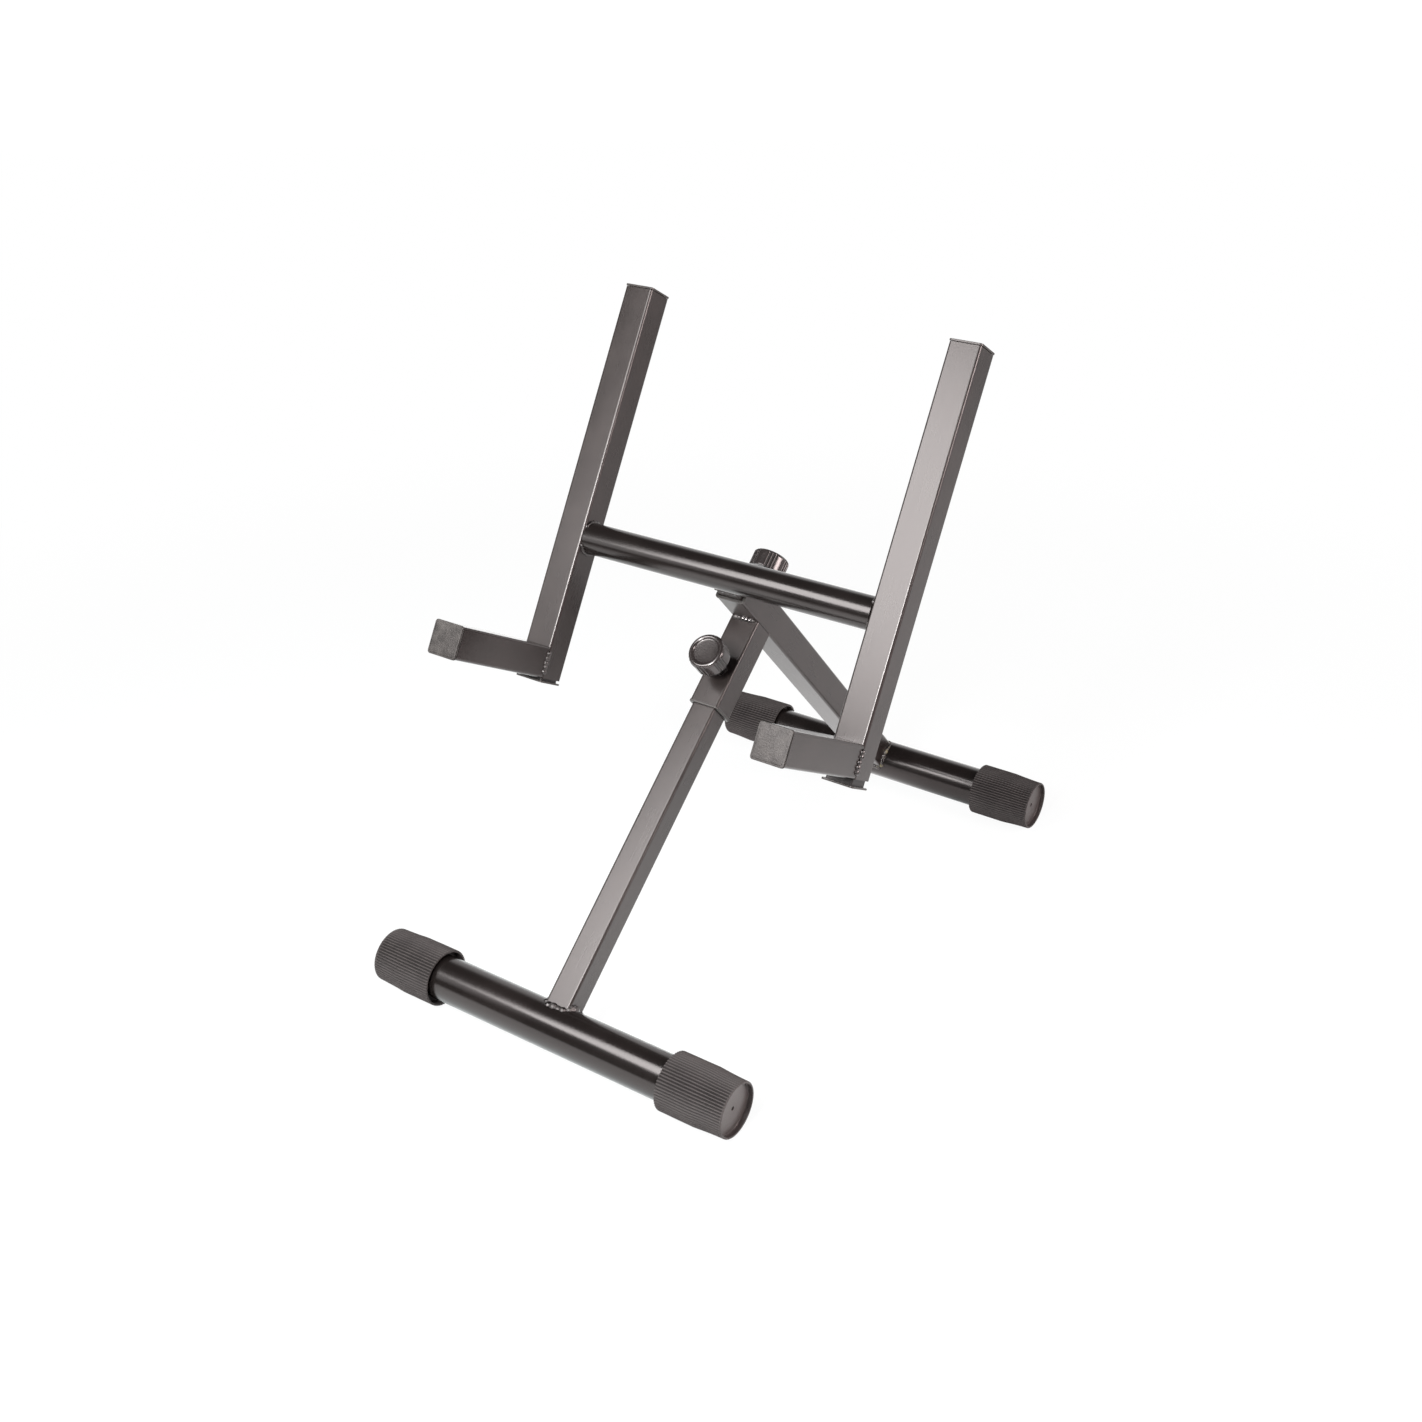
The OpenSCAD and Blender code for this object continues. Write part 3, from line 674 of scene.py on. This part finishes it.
def knob_shape(twist):
    """A fluted knob that stands on its open underside, its flutes turned by the twist."""
    side = [(KNOB_R, z, 0) for z in (2, 4, 6, 8, 10, 12)]
    rim = [(RIM_AT + RIM_R * math.cos(a), KNOB_H - RIM_R + RIM_R * math.sin(a), 0)
           for a in (math.radians(6 * i) for i in range(5, 26))]
    bore, deep = SCREW_R + 0.05, 12.0
    under = [(bore, 0, 0.4), (8.0, 0, 0.5), (8.0, 10, 0.6), (14.0, 10, 0.6), (14.0, 0, 0.4),
             (KNOB_R, 0, 0.7)]
    dish = [(11.6, 15.5, 0.4), (0.0, 15.2, 0), (0.0, deep, 0), (bore, deep, 0.3)]
    mesh = turned(under + side + [(KNOB_R, 14.2, 0.6)] + rim + dish, 720)
    groove = mesh.verts.layers.float.new("groove")
    for point in mesh.verts:
        x, y, z = point.co
        radius = math.hypot(x, y)
        if radius < GROOVE_IN or z > GROOVE_TOP:
            continue
        depth = groove_depth(math.atan2(y, x) - twist) * min(1.0, (GROOVE_TOP - z) / 0.8)
        # Painted shade in the grooves, darkest where they cut deepest.
        point[groove] = min(1.0, depth / GROOVE_R)
        keep = KNOB_R - depth
        if radius > keep:
            point.co.x, point.co.y = x * keep / radius, y * keep / radius
    return mesh


for end, place in KNOB_PLACE.items():
    finish(f"{end}_knob_fluted", knob_shape(KNOB_TWIST[end]),
           place @ Matrix.Translation((0, 0, KNOB_GAP[end])), KNOB,
           f"{end}_knob", [f"{end}_lock_knob"], 50)

# %% [markdown]
# ## Clamp screws
# A screw's thread is a small tooth that climbs one pitch for each turn. One tooth
# outline is spun round the axis many times while it is lifted, so each turn meets
# the last and the thread is one unbroken surface. Both ends are then filled.

# %% Screws
PITCH, ROOT_R = 1.25, SCREW_R - 0.7
SCREW_TIP, SCREW_IN_KNOB = -2.4, 12.0


def screw_shape(low, high):
    """A threaded rod about Z, from low to high."""
    mesh = bmesh.new()
    tooth = ((ROOT_R, 0.0), (ROOT_R, 0.15), (SCREW_R, 0.56), (SCREW_R, 0.72),
             (ROOT_R, 1.13), (ROOT_R, PITCH))
    points = [mesh.verts.new((r, 0, low + z)) for r, z in tooth]
    edges = [mesh.edges.new(pair) for pair in zip(points, points[1:])]
    turns, steps = int((high - low) / PITCH) - 1, 40
    bmesh.ops.spin(mesh, geom=points + edges, axis=(0, 0, 1), cent=(0, 0, 0),
                   dvec=(0, 0, PITCH / steps), steps=turns * steps, angle=turns * 2 * math.pi)
    bmesh.ops.remove_doubles(mesh, verts=mesh.verts, dist=1e-3)
    rims = [edge for edge in mesh.edges if edge.is_boundary]
    bmesh.ops.holes_fill(mesh, edges=rims)
    return mesh


for end, place in KNOB_PLACE.items():
    finish(f"{end}_screw_threaded", screw_shape(SCREW_TIP, KNOB_GAP[end] + SCREW_IN_KNOB), place,
           STEEL, f"{end}_screw", [f"{end}_lock_screw"], 60)

# %% [markdown]
# ## Weld beads
# A weld is a row of small puddles that froze one after another. Each puddle is a
# slightly uneven ball on the seam, and a voxel remesh joins the row into one skin
# with the ripples left in it. The beads run along the four sides of each cope and
# down the seams of the arms, as on the real stand.

# %% Laying a bead
noise.seed_set(1)  # unseeded, noise_vector starts from the clock


def bead(name, place, runs, radius, body, replaces, seed, step=0.62, uneven=0.4, paint=WELD):
    """Lays weld puddles along runs of points and joins them into one skin."""
    mesh = bmesh.new()
    count = 0
    for run in runs:
        for a, b in zip(run, run[1:]):
            a, b = Vector(a), Vector(b)
            puddles = max(1, round((b - a).length / (radius * step)))
            for i in range(puddles):
                at = a.lerp(b, (i + 0.5) / puddles)
                wobble = noise.noise_vector(at * 0.7 + Vector((seed, 0, 0)))
                size = radius * (1.0 + uneven * wobble.x)
                spot = Matrix.Translation(at + wobble * radius * uneven * 0.7)
                bmesh.ops.create_icosphere(mesh, subdivisions=2, radius=size, matrix=spot)
                count += 1
    data = bpy.data.meshes.new(name)
    mesh.to_mesh(data)
    mesh.free()
    rough = bpy.data.objects.new(name + "_rough", data)
    bpy.context.scene.collection.objects.link(rough)
    skin = rough.modifiers.new("skin", "REMESH")
    skin.mode, skin.voxel_size = "VOXEL", 0.34
    settle = rough.modifiers.new("settle", "SMOOTH")
    settle.factor, settle.iterations = 0.5, 2
    baked = bpy.data.meshes.new_from_object(
        rough.evaluated_get(bpy.context.evaluated_depsgraph_get()))
    bpy.data.objects.remove(rough)
    joined = bmesh.new()
    joined.from_mesh(baked)
    print(f"{count} puddles for {name}")
    finish(name, joined, place, paint, body, replaces, sharp=180)


def saddle(side, bar_r, sunk=0.0, clear=2.0):
    """Four runs round a square tube coped onto a round bar along X, clear of its corners."""
    half, reach = side / 2, side / 2 - clear
    ys = [reach * (i / 8 - 1) for i in range(17)]
    inset = sunk * 0.4
    flanks = [[(s * (half - inset), y, math.sqrt(bar_r ** 2 - y ** 2) - inset) for y in ys]
              for s in (-1, 1)]
    level = math.sqrt(bar_r ** 2 - half ** 2) - sunk
    return flanks + [[(-reach, s * half, level), (reach, s * half, level)] for s in (-1, 1)]


# A lump where the front leg's bead was started, on its front right corner.
lump = [(INNER / 2 - 1.4, -9.0, 18.4), (INNER / 2 - 1.4, -4.0, 20.5)]
bead("front_leg_bead", FRONT_LEG, saddle(INNER, BASE_R, sunk=1.6) + [lump], 3.7, "front_leg",
     ["front_leg_weld"], seed=1, step=1.3, uneven=0.5)
bead("rear_leg_bead", REAR_LEG, saddle(TUBE, BASE_R), 2.6, "rear_frame", ["rear_leg_weld"],
     seed=2, step=0.8, uneven=0.25, paint=WELD_GOLDEN)
bead("post_bead", REAR_LEG @ Matrix.Translation((0, 0, CROSSBAR_AT)) @ FLIP_Z,
     saddle(INNER, CROSSBAR_R), 2.4, "cradle", ["post_weld"], seed=3, step=1.2)

# %% Beads on the cradle and the sleeve
for side, mirror, seed in (("left", FLIP_X, 4), ("right", Matrix.Identity(4), 9)):
    low, high = UPRIGHT_LOW + 4, UPRIGHT_LOW + 26
    seams = [[(UPRIGHT_X + s * 14.7, -TUBE / 2, low), (UPRIGHT_X + s * 14.7, -TUBE / 2, high)]
             for s in (-1, 1)]
    bead(f"arm_bead_{side}", CRADLE @ mirror, seams, 3.0, "cradle", [f"arm_weld_{side}"],
         seed, step=1.5, uneven=0.25)
    ring_r = CROSSBAR_R + 0.3
    ring = [(UPRIGHT_X - TUBE / 2 - 0.2, ring_r * math.sin(math.radians(a)),
             ring_r * math.cos(math.radians(a))) for a in range(-56, 57, 8)]
    under = [(x, y, -z) for x, y, z in ring]
    bead(f"crossbar_bead_{side}", CRADLE @ mirror, [ring, under], 1.8, "cradle",
         [f"crossbar_weld_{side}"], seed + 2)

throat = TUBE / 2 / math.cos(MITRE)
corners = [[(s * 11.5, -TUBE / 2 - 0.3, CROSS_ON_REAR + w * (throat + 0.3)) for s in (-1, 1)]
           for w in (-1, 1)]
bead("sleeve_bead", REAR_LEG, corners, 3.0, "rear_frame", ["sleeve_weld"], seed=14, step=1.2)

# %% [markdown]
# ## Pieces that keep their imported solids
# The weld nuts and the glides inside the tubes already have the right shape, so
# they only need their finish.

# %% Finish the kept solids
for name, paint in (("front_lock_nut", WELD), ("rear_lock_nut", WELD),
                    ("front_leg_glide", BUSH), ("post_glide", BUSH)):
    kept = frame["nodes"][name]
    kept.data.materials.clear()
    kept.data.materials.append(paint)
    print("kept", name, "with", paint.name)

# %% [markdown]
# ## Camera
# The place and the lens come from a fit to the photograph: the eye is well above
# the stand, to its right, and looks down at about 28 degrees.

# %% Camera
EYE = (0.761657, -1.170771, 0.951153)
LOOK_TURN, LOOK_DOWN = 0.5950228, 0.4874600
FOCAL_PIXELS, PHOTO_PIXELS, SENSOR = 1678.496, 1422, 36.0
lens = bpy.data.cameras.new("camera")
lens.sensor_width, lens.lens = SENSOR, SENSOR * FOCAL_PIXELS / PHOTO_PIXELS
lens.clip_start, lens.clip_end = 0.05, 50
camera = bpy.data.objects.new("camera", lens)
camera.location = EYE
camera.rotation_euler = (math.pi / 2 - LOOK_DOWN, 0, LOOK_TURN)
bpy.context.scene.collection.objects.link(camera)
bpy.context.scene.camera = camera
print("lens %.2f mm" % lens.lens)

# %% [markdown]
# ## Studio
# The stand is on a white sweep. A large soft lamp stands to the camera's left, and
# its reflection is what turns the flat front faces grey and draws the long streak
# on the round bars. A lamp on the right lights the side faces, a small one near the
# camera draws the bright lines on the round corners, and a faint one reaches the left
# upright. To the camera the sweep and the sky are plain white, and the floor keeps a
# faint shadow. In reflections only their far parts are white, so that the sides of
# the tubes stay dark.

# %% Floor
PALE = (0.72, 0.72, 0.72, 1)
WHITE = (1, 1, 1, 1)


def sweep():
    """A wide pale floor."""
    mesh = bmesh.new()
    bmesh.ops.create_circle(mesh, cap_ends=True, radius=2.6, segments=96)
    data = bpy.data.meshes.new("floor")
    mesh.to_mesh(data)
    mesh.free()
    floor = bpy.data.objects.new("floor", data)
    bpy.context.scene.collection.objects.link(floor)
    material, shader, start = new_material("white_sweep")
    wire(shader, Base_Color=PALE, Roughness=0.9)
    seen_by_camera = start.node("LightPath", output="Is Camera Ray")
    place = start.node("TexCoord", output="Object")
    away = start.node("VectorMath", {"operation": "LENGTH"}, {0: place}, "Value")
    x = start.node("SeparateXYZ", {}, {0: place}, "X")
    y = start.node("SeparateXYZ", {}, {0: place}, "Y")
    fade = 1.0 - x.between(0.0, 0.2) * y.between(0.3, 1.1) * 0.85
    left = y.between(0.05, 0.25) * (1.0 - x.between(0.0, 0.12))
    far = start.math("MAXIMUM", away.between(0.3, 0.6) * y.between(0.1, 0.4) * fade, left)
    mirrored = start.node("LightPath", output="Is Glossy Ray")
    glossy = mirrored * far
    strength = 1.0 + mirrored * left * 0.8
    white = start.node("Emission", {}, {"Color": WHITE, "Strength": strength})
    plain = seen_by_camera * (0.93 + 0.07 * away.between(0.6, 1.5))
    share = start.math("MAXIMUM", glossy, plain)
    lit = Flow(start.tree, shader.outputs[0])
    out = start.node("MixShader", {}, {0: share, 1: lit, 2: white})
    start.tree.links.new(out.socket, start.tree.nodes["Material Output"].inputs["Surface"])
    data.materials.append(material)


sweep()
print("the floor is white to the camera, with a faint shadow")

# %% Sky
ROOM, BACKDROP = 0.05, 1.2
sky = bpy.data.worlds.new("sky")
sky.use_nodes = True
bpy.context.scene.world = sky
start = Flow(sky.node_tree)
path = start.node("LightPath", output="Is Camera Ray")
toward = start.node("TexCoord", output="Generated")
across = start.node("SeparateXYZ", {}, {0: toward}, "Y")
height = start.node("SeparateXYZ", {}, {0: toward}, "Z")
band = height.between(-0.3, -0.1) * (1.0 - height.between(0.4, 0.65))
backdrop = across.between(0.2, 0.6) * band
strength = start.math("MAXIMUM", path, ROOM + backdrop * BACKDROP)
wire(sky.node_tree.nodes["Background"], Strength=strength, Color=WHITE)
print("the sky is white to the camera, and a band of it in reflections")

# %% Lamps
AIM = (0, -0.02, 0.28)  # the middle of the stand


def lamp(name, place, size, power, target=AIM, colour=(0.94, 1.0, 1.0)):
    """A square soft lamp at a place in metres, turned to face a target."""
    light = bpy.data.lights.new(name, "AREA")
    light.shape, light.size, light.energy, light.color = "SQUARE", size, power, colour
    made = bpy.data.objects.new(name, light)
    made.location = place
    made.rotation_euler = (Vector(place) - Vector(target)).to_track_quat("Z", "Y").to_euler()
    bpy.context.scene.collection.objects.link(made)


lamp("key", (-0.34, -0.79, 1.01), 0.61, 16.7)
lamp("side", (1.75, 0.15, 1.12), 0.9, 50, colour=(1.0, 0.95, 0.94))
lamp("edge", (0.16, -1.28, 1.06), 0.29, 36)
lamp("fill", (-0.80, -0.80, 0.62), 0.5, 1.6, target=(-0.17, 0, 0.3))
bpy.context.scene.view_settings.view_transform = "Standard"
